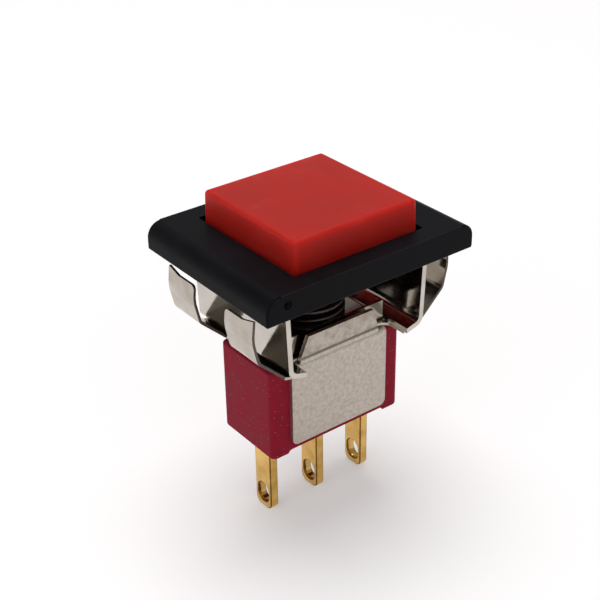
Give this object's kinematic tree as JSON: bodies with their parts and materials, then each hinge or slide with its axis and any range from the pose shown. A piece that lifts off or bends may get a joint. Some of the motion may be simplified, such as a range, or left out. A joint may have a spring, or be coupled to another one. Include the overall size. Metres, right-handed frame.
{
  "type": "latching push button switch",
  "caption": "Square latching push button in a rectangular bezel, with a sprung clip for a panel cut-out, a metal-framed case and flat solder terminals.",
  "frame": {"origin": "middle of the panel seat: the plane of the bezel's underside, on the button's axis", "axes": "+Z out of the panel towards the user, +X along the row of terminals and the bezel's long side, +Y along its short side"},
  "size_m": [0.0192, 0.0154, 0.0266],
  "materials": {
    "bezel_plastic": "fine satin moulded nylon",
    "button_plastic": "satin, slightly translucent moulded plastic",
    "plunger_plastic": "moulded acetal",
    "spring_wire": "drawn spring wire",
    "nickel_sheet": "bright nickel-plated stamped sheet",
    "clip_sheet": "bright stainless spring sheet",
    "frame_sheet": "dull tumbled nickel-plated sheet",
    "case_plastic": "moulded thermoset with pale specks",
    "cover_plastic": "moulded nylon",
    "latch_wire": "drawn stainless wire",
    "latch_band": "rolled spring strip",
    "slider_plastic": "moulded acetal, natural colour",
    "follower_plastic": "turned acetal",
    "follower_wire": "fine spring wire",
    "rocker_copper": "stamped copper alloy, silver plated",
    "contact_silver": "riveted silver contact",
    "terminal_gold": "gold-plated brass, stamped",
    "seal_resin": "poured epoxy"
  },
  "bodies": {
    "housing": {"bezel": "bezel_plastic", "mounting_bracket": "nickel_sheet", "snap_in_clip": "clip_sheet", "switch_frame": "frame_sheet", "case": "case_plastic", "guide_cover": "cover_plastic", "latch_ring": "latch_band", "terminal_left": "terminal_gold", "terminal_common": "terminal_gold", "terminal_right": "terminal_gold", "fixed_contact_left": "contact_silver", "fixed_contact_right": "contact_silver", "terminal_seal": "seal_resin"},
    "button": {"button_cap": "button_plastic", "plunger": "plunger_plastic", "return_spring": "spring_wire"},
    "slider": {"contact_slider": "slider_plastic", "contact_follower": "follower_plastic", "follower_spring": "follower_wire"},
    "rocker": {"contact_rocker": "rocker_copper", "moving_contact_left": "contact_silver", "moving_contact_right": "contact_silver"},
    "latch": {"latch_pin": "latch_wire"}
  },
  "joints": [
    {"name": "button_slide", "type": "slide", "parent": "housing", "child": "button", "axis": [0, 0, -1], "range_m": [0, 0.0018], "stiffness_N_per_m": 600, "springref_m": -0.002, "deforming": ["return_spring"]},
    {"name": "slider_slide", "type": "slide", "parent": "housing", "child": "slider", "axis": [1, 0, 0], "range_m": [0, 0.00127]},
    {"name": "rocker_tilt", "type": "hinge", "parent": "housing", "child": "rocker", "pos_m": [0, 0, -0.01203], "axis": [0, 1, 0], "range_deg": [0, 10.02]},
    {"name": "latch_swing", "type": "hinge", "parent": "housing", "child": "latch", "pos_m": [0, -0.0019, -0.00606], "axis": [0, 1, 0], "range_deg": [0, 21.62]}
  ],
  "couplings": [
    {"joint": "slider_slide", "follows": "button_slide", "ratio": 0.7002},
    {"joint": "rocker_tilt", "follows": "button_slide", "rad_per_m": 96.96},
    {"joint": "latch_swing", "follows": "button_slide", "rad_per_m": 209.4}
  ]
}
